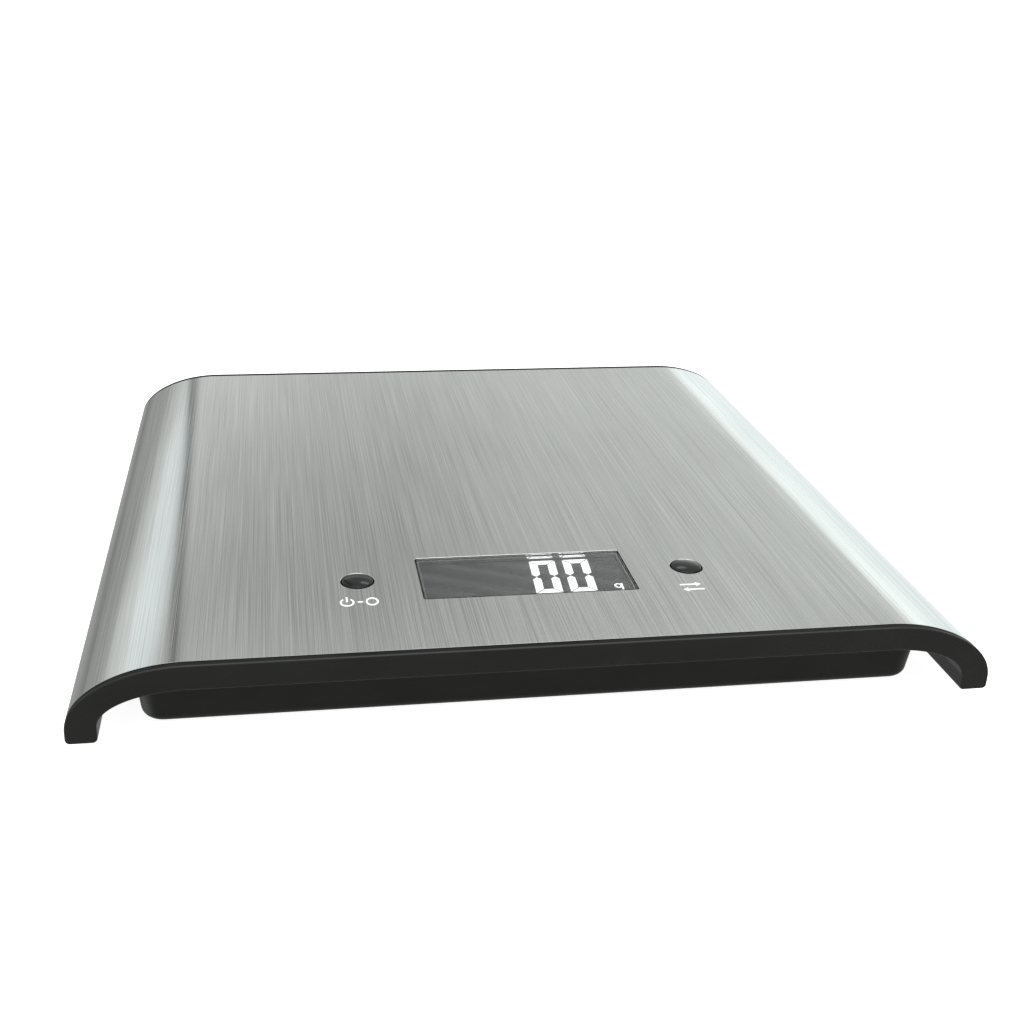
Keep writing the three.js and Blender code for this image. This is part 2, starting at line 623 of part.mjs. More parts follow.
function wireParts() {
  const tabTop = ROOM_TOP_Z + 2.8 + SAG_GAP;
  const boardUnder = PCB_TOP_Z - PCB_THICK - GAP;
  const joint = CONTROL_Y + 12;
  const centre = [
    [BATTERY_X - 11, BATTERY_Y, tabTop], [BATTERY_X - 11, BATTERY_Y, tabTop + 1],
    [BATTERY_X - 11.6, BATTERY_Y - 6, tabTop + 2], [34, 20, 12.6], [30, 0, 12.4], [30, -30, 10.2],
    [31, -46, 8.4], [32, joint, 9], [32, joint, boardUnder],
  ];
  addPart('battery_wire_black', wire(0.7, centre, 28), WIRE_BLACK);
  const rim = [
    [BATTERY_X + 11, BATTERY_Y, tabTop], [BATTERY_X + 11, BATTERY_Y, tabTop + 1],
    [BATTERY_X + 10, BATTERY_Y - 6, tabTop + 2], [40, 18, 12.6], [34, 0, 12.4], [34, -30, 10.2],
    [36, -46, 8.4], [37, joint, 9], [37, joint, boardUnder],
  ];
  addPart('battery_wire_red', wire(0.7, rim, 28), WIRE_RED);
  const gauge = [
    [-CELL_WIDTH / 2 - GAP, 0, 11], [-CELL_WIDTH / 2 - 1.5, 0, 11], [-10.5, -3.5, 11],
    [-14, -14, 10.5], [-20, -32, 9.4],
    [-21, -44, 9.2], [-21, CONTROL_Y + 17 + GAP, 10.2],
  ];
  addPart('load_cell_cable', wire(1.1, gauge, 24), WIRE_GREY);
}

platformParts();
displayParts();
buttonParts();
boardParts();
loadCellParts();
baseParts();
batteryParts();
doorParts();
wireParts();

export default scale;
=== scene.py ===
"""A kitchen scale with an arched platform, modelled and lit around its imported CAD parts, in metres."""

import json
import math

import bmesh
import bpy
from mathutils import Matrix, Vector


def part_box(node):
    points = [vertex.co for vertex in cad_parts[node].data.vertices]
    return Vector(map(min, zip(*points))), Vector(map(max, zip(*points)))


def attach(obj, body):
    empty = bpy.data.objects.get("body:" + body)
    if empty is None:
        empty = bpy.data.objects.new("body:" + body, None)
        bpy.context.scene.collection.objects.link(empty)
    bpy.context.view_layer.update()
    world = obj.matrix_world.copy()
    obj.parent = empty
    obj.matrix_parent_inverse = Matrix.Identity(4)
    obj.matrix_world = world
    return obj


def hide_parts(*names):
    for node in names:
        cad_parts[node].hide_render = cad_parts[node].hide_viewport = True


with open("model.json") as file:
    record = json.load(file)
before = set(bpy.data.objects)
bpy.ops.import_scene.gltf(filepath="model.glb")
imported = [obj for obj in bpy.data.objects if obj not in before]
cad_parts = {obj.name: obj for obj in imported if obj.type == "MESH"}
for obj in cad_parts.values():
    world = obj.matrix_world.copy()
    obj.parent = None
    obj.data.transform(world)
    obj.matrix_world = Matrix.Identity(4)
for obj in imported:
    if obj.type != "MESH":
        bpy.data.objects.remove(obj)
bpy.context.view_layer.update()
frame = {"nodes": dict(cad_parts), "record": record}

# ---------------------------------------------------------------- sizes

MM = 0.001

# How far a cutting tool reaches past what it cuts.
REACH = 1 * MM
# How far the solids that stand on the tray's floor sink into it, before they are joined to it.
SINK = 1 * MM
# Radius of the small flat that closes a turned solid at its axis.
AXIS_R = 0.05 * MM

# Read from the frame.
FRAME_LOW, FRAME_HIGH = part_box("platform_frame")
COVER_LOW, COVER_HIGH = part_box("steel_cover")
LENS_LOW, LENS_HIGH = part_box("display_lens")
LCD_LOW, LCD_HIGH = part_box("lcd_panel")
DOOR_LOW, DOOR_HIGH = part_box("battery_door")
HALF_X = FRAME_HIGH.x
HALF_Y = FRAME_HIGH.y
ARM_Z = FRAME_LOW.z
TOP_Z = FRAME_HIGH.z
CONTROL_Y = (LENS_LOW.y + LENS_HIGH.y) / 2

# Arched platform: a flat top with an elliptic shoulder on each side.
FLAT_HALF = 85.6 * MM
SHOULDER_Z = ARM_Z + 3.2 * MM
SHOULDER_RX = HALF_X - FLAT_HALF
SHOULDER_RZ = TOP_Z - SHOULDER_Z
UNDER_FLAT_HALF = 86 * MM
UNDER_RX = 20.6 * MM
UNDER_RZ = 8.7 * MM
UNDER_Z = 7.5 * MM
ARM_CORNER = 1.2 * MM
EDGE = 0.5 * MM
LIP = 2 * MM
SHEET = 0.6 * MM
GLUE = 0.25 * MM
FINE_EDGE = 0.15 * MM
DECK_TOP = TOP_Z - SHEET - GLUE
DECK_BOTTOM = DECK_TOP - 1.6 * MM
POCKET_HALF = (90 * MM, 92 * MM)
BOSS_R = 3.4 * MM
BOSS_HOLE_R = 1.7 * MM
BOSSES = [(x * MM, y * MM, 13.9 * MM) for x in (-51, 51) for y in (-82.5, -53.5)]
BOSSES += [(x * MM, y * MM, 19 * MM) for x in (-44, 44) for y in (-41, -9)]

# Window and buttons.
WINDOW_GAP = 0.3 * MM
WINDOW_CORNER = 0.8 * MM
LEDGE = 0.7 * MM
LEDGE_Z = DECK_TOP - 0.5 * MM
HOLE_R = 4.4 * MM
HOLE_EDGE = 0.09 * MM
BUTTONS = ("on_zero", "unit")
CAP_R = 4.05 * MM
CAP_RIM = 0.34 * MM
CAP_SINK = 0.16 * MM
STEM_R = 1.6 * MM
FLANGE_R = 5.2 * MM
FLANGE_GAP = 0.35 * MM
FLANGE_THICK = 0.8 * MM

# Display.
LCD_FACE = LCD_HIGH.z - 0.5 * MM
LCD_CORNER = 0.4 * MM
FOIL_GAP = 0.04 * MM
FOIL_THICK = 0.12 * MM
DIGIT = {"width": 7.1 * MM, "height": 18.4 * MM, "stroke": 2.2 * MM, "gap": 0.2 * MM}
DIGITS_LEFT = (1.6 * MM, 10.8 * MM)
DIGITS_BOTTOM = CONTROL_Y - 8.4 * MM
SLANT = math.tan(math.radians(4.2))
SEGMENT_LIFT = 0.03 * MM
PRINT_THICK = 0.03 * MM
MARKS_OFFSET = {"on_zero": (-0.3 * MM, -11.4 * MM), "unit": (-2.0 * MM, -11.6 * MM)}

# Base tray.
BASE_HALF_X = 99.2 * MM
BASE_HALF_Y = 98.4 * MM
BASE_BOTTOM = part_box("base_tray")[0].z
BASE_TOP = 15.2 * MM
BASE_CORNER = 5.7 * MM
BASE_EDGE = 2.4 * MM
BASE_WALL = 2 * MM
BASE_FLOOR = BASE_BOTTOM + BASE_WALL
BASE_LEAN = math.tan(math.radians(6))
ARCH_CLEARANCE = 1 * MM
PAD_TOP = 5.2 * MM
PAD_LOW = (-15 * MM, 14 * MM)
PAD_HIGH = (15 * MM, 42 * MM)
STOPS = [(x * MM, y * MM) for x in (-78, 78) for y in (-60, 60)]
STOP_R = 3.5 * MM
STOP_TOP = 19.65 * MM
FEET = ("front_left", "front_right", "back_left", "back_right")
BACK_SCREWS = (1, 2)
FOOT_WELL_R = 7.3 * MM
FOOT_SEAT_GAP = 0.2 * MM
SCREW_HOLE_R = 2.3 * MM
SCREW_WELL_R = 3.9 * MM
SCREW_SEAT_Z = PAD_TOP - 1.1 * MM

# Battery room and its door. The hooks and the contacts' slots lie to both sides of its middle.
ROOM_TOP = 9.6 * MM
ROOM_HALF = 13 * MM
ROOM_WALL = 1.4 * MM
ROOM_CORNER = 2 * MM
DOOR_GAP = 0.3 * MM
OPENING_FRONT = DOOR_LOW.y + 1.6 * MM
LID_FRONT = OPENING_FRONT + DOOR_GAP
HOOK_X = 9 * MM
HOOK_HALF = 2.5 * MM
HOOK_SLOT_DEPTH = 2.2 * MM
CONTACT_X = 11 * MM
CONTACT_SLOT_HALF = (0.6 * MM, 3.4 * MM)
GRIP_HALF = 6 * MM


# ---------------------------------------------------------------- outlines

def arc(center, radii, start, end, steps):
    """Points on an ellipse from one angle to another, in degrees, both ends included."""
    points = []
    for i in range(steps + 1):
        angle = math.radians(start + (end - start) * i / steps)
        points.append((center[0] + radii[0] * math.cos(angle), center[1] + radii[1] * math.sin(angle)))
    return points


def circle(center, radius, sides=48):
    """A counter-clockwise circle as a loop of points."""
    return arc(center, (radius, radius), 0, 360 - 360 / sides, sides - 1)


def rounded_rectangle(center, half, radius, steps=6):
    """A counter-clockwise rectangle with rounded corners."""
    loop = []
    for sx, sy, start in ((1, -1, -90), (1, 1, 0), (-1, 1, 90), (-1, -1, 180)):
        corner = (center[0] + sx * (half[0] - radius), center[1] + sy * (half[1] - radius))
        loop += arc(corner, (radius, radius), start, start + 90, steps)
    return loop


def mirrored(points):
    """The same points on the other side of the middle, in the opposite order."""
    return [(-x, z) for x, z in reversed(points)]


def shoulder(depth, end_z, steps=56):
    """The right half of the arched outside, sunk by a depth, from end_z at its foot to near the middle."""
    radii = (SHOULDER_RX - depth, SHOULDER_RZ - depth)
    points = [(HALF_X - depth, end_z)]
    points += arc((FLAT_HALF, SHOULDER_Z), radii, 0, 90, steps)
    columns = 14
    points += [(FLAT_HALF * (1 - i / columns), TOP_Z - depth) for i in range(1, columns)]
    return points


def under_arch(drop, steps=36):
    """The right half of the arched underside, moved down by a drop, from the middle to its end."""
    radii = (UNDER_RX, UNDER_RZ)
    return arc((UNDER_FLAT_HALF, UNDER_Z - drop), radii, 90, 0, steps)


def platform_outline():
    """The platform seen from the front: over the top, and back along the underside."""
    r = ARM_CORNER
    foot = arc((HALF_X - r, ARM_Z + r), (r, r), -90, 0, 8)
    outside = foot + shoulder(0, SHOULDER_Z)[1:]
    inner_end = UNDER_FLAT_HALF + UNDER_RX
    inside = under_arch(0) + arc((inner_end + r, ARM_Z + r), (r, r), 180, 270, 8)
    return outside + mirrored(outside) + mirrored(inside) + inside


def cover_outline():
    """A band of sheet metal that follows the arched outside."""
    outside = shoulder(0, COVER_LOW.z)
    inside = shoulder(SHEET, COVER_LOW.z)
    return outside + mirrored(outside) + inside_out(inside)


def inside_out(half):
    """The right half of an inner curve and its mirror image, run from the left foot to the right."""
    return [(-x, z) for x, z in half] + list(reversed(half))


def above_band(depth, end_z):
    """Everything outside a curve that runs at a depth under the arched outside."""
    margin = 5 * MM
    far, above = HALF_X + margin, TOP_Z + margin
    around = [(far, end_z), (far, above), (-far, above), (-far, end_z)]
    return around + inside_out(shoulder(depth, end_z))


def space_under_arch():
    """Everything above a curve just below the platform's arched underside."""
    end = UNDER_FLAT_HALF + UNDER_RX
    curve = under_arch(ARCH_CLEARANCE)
    return [(end, TOP_Z), (-end, TOP_Z)] + mirrored(curve) + curve


def inset(loop, distance):
    """A counter-clockwise loop moved inwards by a distance, or outwards if it is below zero."""
    if distance == 0:
        return list(loop)
    moved = []
    for i, point in enumerate(loop):
        here = Vector(point)
        before = (here - Vector(loop[i - 1])).normalized()
        after = (Vector(loop[(i + 1) % len(loop)]) - here).normalized()
        normal = Vector((-before.y - after.y, before.x + after.x)).normalized()
        stretch = max(normal.dot(Vector((-before.y, before.x))), 0.3)
        moved.append(tuple(here + normal * (distance / stretch)))
    return moved


def rounded_ends(low, high, low_edge, high_edge, steps=6):
    """Levels of a solid as (inset, height), with a quarter round at each end."""
    levels = []
    for edge, end, way in ((low_edge, low, 1), (high_edge, high, -1)):
        rows = []
        for i in range(steps + 1 if edge else 1):
            angle = math.pi / 2 * i / steps
            rows.append((edge * (1 - math.sin(angle)), end + way * edge * (1 - math.cos(angle))))
        levels += rows if way == 1 else reversed(rows)
    return levels


# ---------------------------------------------------------------- solids

def new_object(name, mesh_data):
    """An object in the scene with a finished bmesh, its faces turned outwards."""
    mesh = bpy.data.meshes.new(name)
    bmesh.ops.recalc_face_normals(mesh_data, faces=mesh_data.faces)
    mesh_data.to_mesh(mesh)
    mesh_data.free()
    obj = bpy.data.objects.new(name, mesh)
    bpy.context.scene.collection.objects.link(obj)
    return obj


def skin(name, rings):
    """A closed solid through rings of points, with its first and last rings filled."""
    mesh_data = bmesh.new()
    rows = [[mesh_data.verts.new(point) for point in ring] for ring in rings]
    for low, high in zip(rows, rows[1:]):
        for i in range(len(low)):
            mesh_data.faces.new((low[i - 1], low[i], high[i], high[i - 1]))
    mesh_data.faces.new(rows[0])
    mesh_data.faces.new(rows[-1])
    return new_object(name, mesh_data)


def along_y(name, loop, half, edge=0, steps=6):
    """An X-Z outline made solid from -half to half along Y, with its end edges rounded."""
    levels = rounded_ends(-half, half, edge, edge, steps)
    return skin(name, [[(x, y, z) for x, z in inset(loop, d)] for d, y in levels])


def upright(name, loop, levels):
    """An X-Y outline made solid through levels of (inset, height)."""
    return skin(name, [[(x, y, z) for x, y in inset(loop, d)] for d, z in levels])


def slab(name, loop, low, high, low_edge=0, high_edge=0, steps=4):
    """An X-Y outline made solid between two heights, with its lower and upper edges rounded."""
    return upright(name, loop, rounded_ends(low, high, low_edge, high_edge, steps))


def rod(name, center, radius, low, high, sides=40):
    """An upright round bar between two heights."""
    return slab(name, circle(center, radius, sides), low, high)


def block(name, low, high):
    """A box between two corners."""
    corners = [(low[0], low[1]), (high[0], low[1]), (high[0], high[1]), (low[0], high[1])]
    return slab(name, corners, low[2], high[2])


def turned(name, center, profile, sides=64):
    """A solid turned about an upright axis, through (radius, height) points from the bottom up."""
    return skin(name, [[(x, y, z) for x, y in circle(center, r, sides)] for r, z in profile])


def shape(target, tools, operation="DIFFERENCE"):
    """Cuts solids from the target, or joins them to it, and removes them."""
    for tool in tools:
        modifier = target.modifiers.new("shape", "BOOLEAN")
        modifier.operation = operation
        modifier.solver = "MANIFOLD"
        modifier.object = tool
    bake(target)
    for tool in tools:
        bpy.data.objects.remove(tool)
    return target


def bake(obj):
    """Replaces an object's mesh by the one that its modifiers make."""
    evaluated = obj.evaluated_get(bpy.context.evaluated_depsgraph_get())
    mesh = bpy.data.meshes.new_from_object(evaluated)
    obj.modifiers.clear()
    obj.data = mesh


def middle_of(node):
    """The middle of a CAD node's box, in X and Y."""
    low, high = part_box(node)
    return ((low.x + high.x) / 2, (low.y + high.y) / 2)


def merged(name, pieces):
    """One object with the meshes of several, which are removed."""
    mesh_data = bmesh.new()
    for piece in pieces:
        mesh_data.from_mesh(piece.data)
        bpy.data.objects.remove(piece)
    return new_object(name, mesh_data)


def finish_piece(obj, body, material, replaces=(), sharp=32):
    """Shades a piece, gives it its material, and hangs it on its body."""
    obj.data.materials.clear()
    obj.data.materials.append(material)
    obj.data.shade_smooth()
    obj.data.set_sharp_from_angle(angle=math.radians(sharp))
    weights = obj.modifiers.new("normals", "WEIGHTED_NORMAL")
    weights.keep_sharp = True
    bake(obj)
    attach(obj, body)
    if replaces:
        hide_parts(*replaces)


# ---------------------------------------------------------------- materials

class Finish:
    """A procedural material on one Principled shader, with short ways to add detail."""

    def __init__(self, name, colour, roughness, **sockets):
        self.material = bpy.data.materials.new(name)
        self.material.use_nodes = True
        self.tree = self.material.node_tree
        self.shader = self.tree.nodes["Principled BSDF"]
        self.shader.inputs["Base Color"].default_value = (*colour, 1)
        self.shader.inputs["Roughness"].default_value = roughness
        for socket, value in sockets.items():
            self.shader.inputs[socket.replace("_", " ")].default_value = value
        self.place = self.node("ShaderNodeTexCoord").outputs["Object"]

    def node(self, kind, links=(), **values):
        """A node with its inputs set by name or place, and linked from the given outputs."""
        node = self.tree.nodes.new(kind)
        for key, value in values.items():
            setattr(node, key, value)
        for socket, source in dict(links).items():
            if hasattr(source, "is_output"):
                self.tree.links.new(source, node.inputs[socket])
            else:
                node.inputs[socket].default_value = source
        return node

    def noise(self, size, detail=3, seed=0.0):
        """Noise between 0 and 1 with features of the given size along each axis."""
        links = {"Vector": self.place, "Scale": [1 / s for s in size], "Location": (seed, seed, seed)}
        mapping = self.node("ShaderNodeMapping", links)
        links = {"Vector": mapping.outputs[0], "Scale": 1.0, "Detail": detail}
        return self.node("ShaderNodeTexNoise", links).outputs["Fac"]

    def math(self, operation, a, b):
        """The result of one operation on two values or outputs."""
        return self.node("ShaderNodeMath", {0: a, 1: b}, operation=operation).outputs[0]

    def total(self, weighted):
        """The sum of some values, each times its weight."""
        parts = [self.math("MULTIPLY", value, weight) for value, weight in weighted]
        result = parts[0]
        for part in parts[1:]:
            result = self.math("ADD", result, part)
        return result

    def spread(self, value, low, high, start=0.3, end=0.7):
        """Maps the middle of a noise's range onto the range from low to high."""
        links = {"Value": value, "From Min": start, "From Max": end, "To Min": low, "To Max": high}
        return self.node("ShaderNodeMapRange", links).outputs[0]

    def tones(self, value, dark, light):
        """Colours the surface between two tones by a value from 0 to 1."""
        links = {0: value, 6: (*dark, 1), 7: (*light, 1)}
        mix = self.node("ShaderNodeMix", links, data_type="RGBA")
        self.tree.links.new(mix.outputs[2], self.shader.inputs["Base Color"])
        return self

    def rough(self, value):
        """Takes the roughness from a value."""
        self.tree.links.new(value, self.shader.inputs["Roughness"])
        return self

    def bump(self, height, distance, strength=1.0):
        """Raises the surface by a height from 0 to 1, times a distance."""
        links = {"Height": height, "Distance": distance, "Strength": strength}
        bump = self.node("ShaderNodeBump", links)
        self.tree.links.new(bump.outputs[0], self.shader.inputs["Normal"])
        return self


BRUSHING = "brushing"


def shades(colour, *factors):
    """Copies of a colour, each made darker or lighter by a factor."""
    return [[min(1, c * factor) for c in colour] for factor in factors]


def brushed_steel():
    """Steel brushed from front to back, with highlights that spread out across the grain."""
    steel = Finish("brushed_steel", (0.6, 0.61, 0.58), 0.24, Metallic=1.0, Anisotropic=0.45)
    steel.place = steel.node("ShaderNodeUVMap", uv_map=BRUSHING).outputs[0]
    tangent = steel.node("ShaderNodeTangent", direction_type="UV_MAP", uv_map=BRUSHING)
    steel.tree.links.new(tangent.outputs[0], steel.shader.inputs["Tangent"])
    hairs = steel.noise((0.16 * MM, 50 * MM, 1), 2, 3.1)
    streaks = steel.noise((0.32 * MM, 120 * MM, 1), 2, 7.7)
    clouds = steel.noise((35 * MM, 70 * MM, 1), 2, 5.2)
    lines = steel.total([(hairs, 0.64), (streaks, 0.36)])
    grain = steel.total([(lines, 0.88), (clouds, 0.12)])
    steel.tones(steel.spread(grain, 0, 1, 0.36, 0.64), (0.515, 0.52, 0.5), (0.785, 0.795, 0.77))
    steel.rough(steel.spread(lines, 0.11, 0.21))
    return steel.bump(lines, 0.004 * MM).material


def black_plastic(name, roughness, grain, depth, tint, **sockets):
    """Moulded black plastic with a fine grain and faint uneven gloss."""
    plastic = Finish(name, tint, roughness, **sockets)
    patches = plastic.noise((14 * MM, 14 * MM, 9 * MM), 4, 2.0)
    fine = plastic.noise((grain, grain, grain), 2, 0.4)
    plastic.tones(plastic.spread(patches, 0, 1), *shades(tint, 0.8, 1.25))
    gloss = plastic.total([(patches, 0.7), (fine, 0.3)])
    plastic.rough(plastic.spread(gloss, roughness * 0.85, roughness * 1.2))
    return plastic.bump(fine, depth, 0.5).material


def rubber():
    pad = Finish("rubber", (0.02, 0.02, 0.02), 0.75)
    crumbs = pad.noise((0.35 * MM,) * 3, 3, 4.0)
    dust = pad.noise((5 * MM,) * 3, 4, 9.0)
    pad.tones(pad.spread(dust, 0, 1), (0.014, 0.014, 0.014), (0.034, 0.033, 0.031))
    return pad.rough(pad.spread(crumbs, 0.65, 0.9)).bump(crumbs, 0.03 * MM, 0.6).material


def clear_window():
    """Clear moulded plastic, slightly grey, with faint polishing marks."""
    lens = Finish("clear_window", (0.95, 0.96, 0.96), 0.02, IOR=1.49, Transmission_Weight=1.0)
    marks = lens.noise((9 * MM, 6 * MM, 9 * MM), 3, 8.0)
    lens.tones(lens.spread(marks, 0, 1), (0.93, 0.94, 0.94), (0.98, 0.985, 0.985))
    return lens.rough(lens.spread(marks, 0.012, 0.03)).material


def lcd_glass():
    """The dark front of the LCD, with soft slanting bands of painted reflection in its colour."""
    glass = Finish("lcd_glass", (0.07, 0.075, 0.075), 0.25)
    # The slanting bands are a painted reflection: lighter and darker streaks laid into the glass's colour,
    # mixed with a soft random haze.
    slant = (0, 0, math.radians(28))
    turn = glass.node("ShaderNodeMapping", {"Vector": glass.place, "Rotation": slant})
    bands = {"Scale": 44.0, "Distortion": 1.5, "Detail": 1.0, "Detail Scale": 1.2}
    links = {"Vector": turn.outputs[0], **bands}
    painted_reflection_bands = glass.node("ShaderNodeTexWave", links, bands_direction="Y").outputs["Fac"]
    haze = glass.noise((18 * MM, 9 * MM, 9 * MM), 2, 6.0)
    tone = glass.total([(painted_reflection_bands, 0.55), (haze, 0.45)])
    glass.tones(glass.spread(tone, 0, 1, 0.25, 0.75), (0.004, 0.005, 0.005), (0.062, 0.066, 0.065))
    return glass.rough(glass.spread(haze, 0.2, 0.3)).material


def glowing(name, colour, roughness, strength):
    """A finish that also gives off white light."""
    return Finish(name, colour, roughness, Emission_Color=(1, 1, 1, 1), Emission_Strength=strength)


def lit_segment():
    lit = glowing("lit_segment", (0.9, 0.9, 0.9), 0.5, 0.9)
    grain = lit.noise((0.4 * MM,) * 3, 2, 1.0)
    return lit.tones(lit.spread(grain, 0, 1), (0.86, 0.86, 0.86), (0.95, 0.95, 0.95)).material


def white_print():
    # The print glows faintly: painted light that keeps it reading white under the studio lamps.
    print_with_painted_glow = glowing("white_print", (0.9, 0.9, 0.9), 0.45, 0.3)
    grain = print_with_painted_glow.noise((0.2 * MM,) * 3, 2, 1.0)
    print_with_painted_glow.tones(print_with_painted_glow.spread(grain, 0, 1), (0.88, 0.88, 0.87), (0.97, 0.97, 0.96))
    return print_with_painted_glow.bump(grain, 0.004 * MM, 0.5).material


def plain_plastic(name, colour, roughness=0.45):
    """Moulded plastic of one colour, slightly uneven."""
    plastic = Finish(name, colour, roughness)
    patches = plastic.noise((4 * MM,) * 3, 3, 2.5)
    fine = plastic.noise((0.2 * MM,) * 3, 2, 1.5)
    plastic.tones(plastic.spread(patches, 0, 1), *shades(colour, 0.85, 1.12))
    plastic.rough(plastic.spread(patches, roughness * 0.8, roughness * 1.2))
    return plastic.bump(fine, 0.01 * MM, 0.4).material


def bare_metal(name, colour, roughness, stretch=(1, 1, 1)):
    """Plain machined or plated metal, with fine tool marks and a few duller spots."""
    metal = Finish(name, colour, roughness, Metallic=1.0)
    marks = metal.noise([0.25 * MM * s for s in stretch], 3, 3.0)
    spots = metal.noise((2.5 * MM,) * 3, 4, 6.5)
    metal.tones(metal.spread(spots, 0, 1), *shades(colour, 0.82, 1.1))
    gloss = metal.total([(marks, 0.5), (spots, 0.5)])
    metal.rough(metal.spread(gloss, roughness * 0.7, roughness * 1.35))
    return metal.bump(marks, 0.006 * MM, 0.5).material


def board_green():
    """Circuit board lacquer with faint copper tracks under it."""
    board = Finish("circuit_board", (0.02, 0.12, 0.05), 0.35)
    links = {"Vector": board.place, "Scale": 260.0, "Mortar Size": 0.12}
    tracks = board.node("ShaderNodeTexBrick", links).outputs["Fac"]
    weave = board.noise((0.5 * MM,) * 3, 2, 2.2)
    tone = board.total([(tracks, 0.6), (weave, 0.4)])
    board.tones(board.spread(tone, 0, 1, 0.1, 0.7), (0.012, 0.09, 0.035), (0.035, 0.19, 0.075))
    return board.rough(board.spread(weave, 0.28, 0.45)).bump(tone, 0.02 * MM, 0.4).material


MATERIALS = {
    "brushed_steel": brushed_steel(),
    "black_plastic": black_plastic("black_plastic", 0.24, 0.5 * MM, 0.003 * MM, (0.0065, 0.0068, 0.0055)),
    "matt_plastic": black_plastic(
        "matt_plastic", 0.45, 0.4 * MM, 0.006 * MM, (0.022, 0.0228, 0.0225), Specular_IOR_Level=0.02),
    "tray_plastic": black_plastic(
        "tray_plastic", 0.34, 0.35 * MM, 0.006 * MM, (0.0068, 0.006, 0.004), Specular_IOR_Level=0.36),
    "button_plastic": black_plastic(
        "button_plastic", 0.15, 0.4 * MM, 0.001 * MM, (0.005, 0.006, 0.0058), Specular_IOR_Level=0.36),
    "clear_window": clear_window(),
    "lcd_glass": lcd_glass(),
    "lit_segment": lit_segment(),
    "white_print": white_print(),
    "rubber": rubber(),
    "white_plastic": plain_plastic("white_plastic", (0.78, 0.78, 0.75)),
    "dark_plastic": plain_plastic("dark_plastic", (0.02, 0.02, 0.022)),
    "circuit_board": board_green(),
    "aluminium": bare_metal("aluminium", (0.72, 0.73, 0.74), 0.32, (1, 30, 1)),
    "plated_steel": bare_metal("plated_steel", (0.66, 0.66, 0.64), 0.22),
    "foil": bare_metal("foil", (0.8, 0.8, 0.8), 0.07, (20, 20, 20)),
    "black_wire": plain_plastic("black_wire", (0.015, 0.015, 0.015)),
    "red_wire": plain_plastic("red_wire", (0.36, 0.015, 0.015)),
    "grey_wire": plain_plastic("grey_wire", (0.26, 0.27, 0.28)),
}


def paint_frame_nodes():
    """Gives every CAD node the procedural material of its slot."""
    for row in frame["record"]["subparts"]:
        mesh = frame["nodes"][row["node"]].data
        mesh.materials.clear()
        mesh.materials.append(MATERIALS[row["material_slot"]])


# ---------------------------------------------------------------- platform

def window_loop(margin, radius=WINDOW_CORNER):
    """The window's outline, wider than the lens by a margin."""
    half = ((LENS_HIGH.x - LENS_LOW.x) / 2 + margin, (LENS_HIGH.y - LENS_LOW.y) / 2 + margin)
    return rounded_rectangle((0, CONTROL_Y), half, radius)


def button_center(name):
    return middle_of(f"{name}_button")


def control_cutters(low):
    """Tools for the window and the button holes, which open out as they leave the top surface."""
    levels = [(0, low), (0, TOP_Z - HOLE_EDGE), (-HOLE_EDGE, TOP_Z), (-HOLE_EDGE, TOP_Z + REACH)]
    tools = [upright("cut", window_loop(WINDOW_GAP), levels)]
    for name in BUTTONS:
        tools.append(upright("cut", circle(button_center(name), HOLE_R, 72), levels))
    return tools


def matt_lips(body):
    """Gives the flat top of both lips, all along the arch, a matt finish."""
    body.data.materials.append(MATERIALS["matt_plastic"])
    for face in body.data.polygons:
        on_lip = abs(face.center.y) > HALF_Y - LIP
        unrounded = abs(face.normal.y) < 0.1
        outward = face.normal.z + face.normal.x * math.copysign(1, face.center.x)
        if on_lip and unrounded and outward > 0.5:
            face.material_index = 1


def platform_frame():
    """The arched frame: recessed for the cover, hollow underneath, with openings and screw bosses."""
    body = along_y("platform_frame_detail", platform_outline(), HALF_Y, EDGE)
    recess_end = COVER_LOW.z - 0.2 * MM
    pocket_x, pocket_y = POCKET_HALF
    tools = [
        along_y("cut", above_band(SHEET + GLUE, recess_end), HALF_Y - LIP),
        along_y("cut", above_band(FINE_EDGE, recess_end - FINE_EDGE), HALF_Y - LIP + FINE_EDGE),
        block("cut", (-pocket_x, -pocket_y, 0), (pocket_x, pocket_y, DECK_BOTTOM)),
    ]
    tools += control_cutters(LEDGE_Z)
    tools.append(slab("cut", window_loop(WINDOW_GAP - LEDGE), DECK_BOTTOM - REACH, TOP_Z))
    for name in BUTTONS:
        tools.append(rod("cut", button_center(name), HOLE_R, DECK_BOTTOM - REACH, TOP_Z, 72))
    shape(body, tools)
    bosses = []
    holes = []
    for x, y, foot_z in BOSSES:
        bosses.append(rod("boss", (x, y), BOSS_R, foot_z, DECK_BOTTOM + 0.4 * MM))
        holes.append(rod("cut", (x, y), BOSS_HOLE_R, foot_z - REACH, DECK_BOTTOM - 0.1 * MM, 24))
    shape(body, bosses, "UNION")
    shape(body, holes)
    finish_piece(body, "platform", MATERIALS["black_plastic"], ["platform_frame"])
    matt_lips(body)


def arc_length(x, z):
    """How far a point on the arched outside is from the middle, measured along the surface."""
    side = math.copysign(1, x)
    beyond = abs(x) - FLAT_HALF
    if beyond <= 0:
        return x
    turn = math.atan2(beyond / SHOULDER_RX, max(z - SHOULDER_Z, 0) / SHOULDER_RZ)
    steps = 16
    length = 0
    for i in range(steps):
        angle = turn * (i + 0.5) / steps
        length += math.hypot(SHOULDER_RX * math.cos(angle), SHOULDER_RZ * math.sin(angle)) * turn / steps
    return side * (FLAT_HALF + length + max(SHOULDER_Z - z, 0))


def lay_brushing(obj):
    """A UV map that unrolls the cover: across the grain in U, along it in V, both in metres."""
    layer = obj.data.uv_layers.new(name=BRUSHING)
    for loop in obj.data.loops:
        point = obj.data.vertices[loop.vertex_index].co
        layer.data[loop.index].uv = (arc_length(point.x, point.z), point.y)


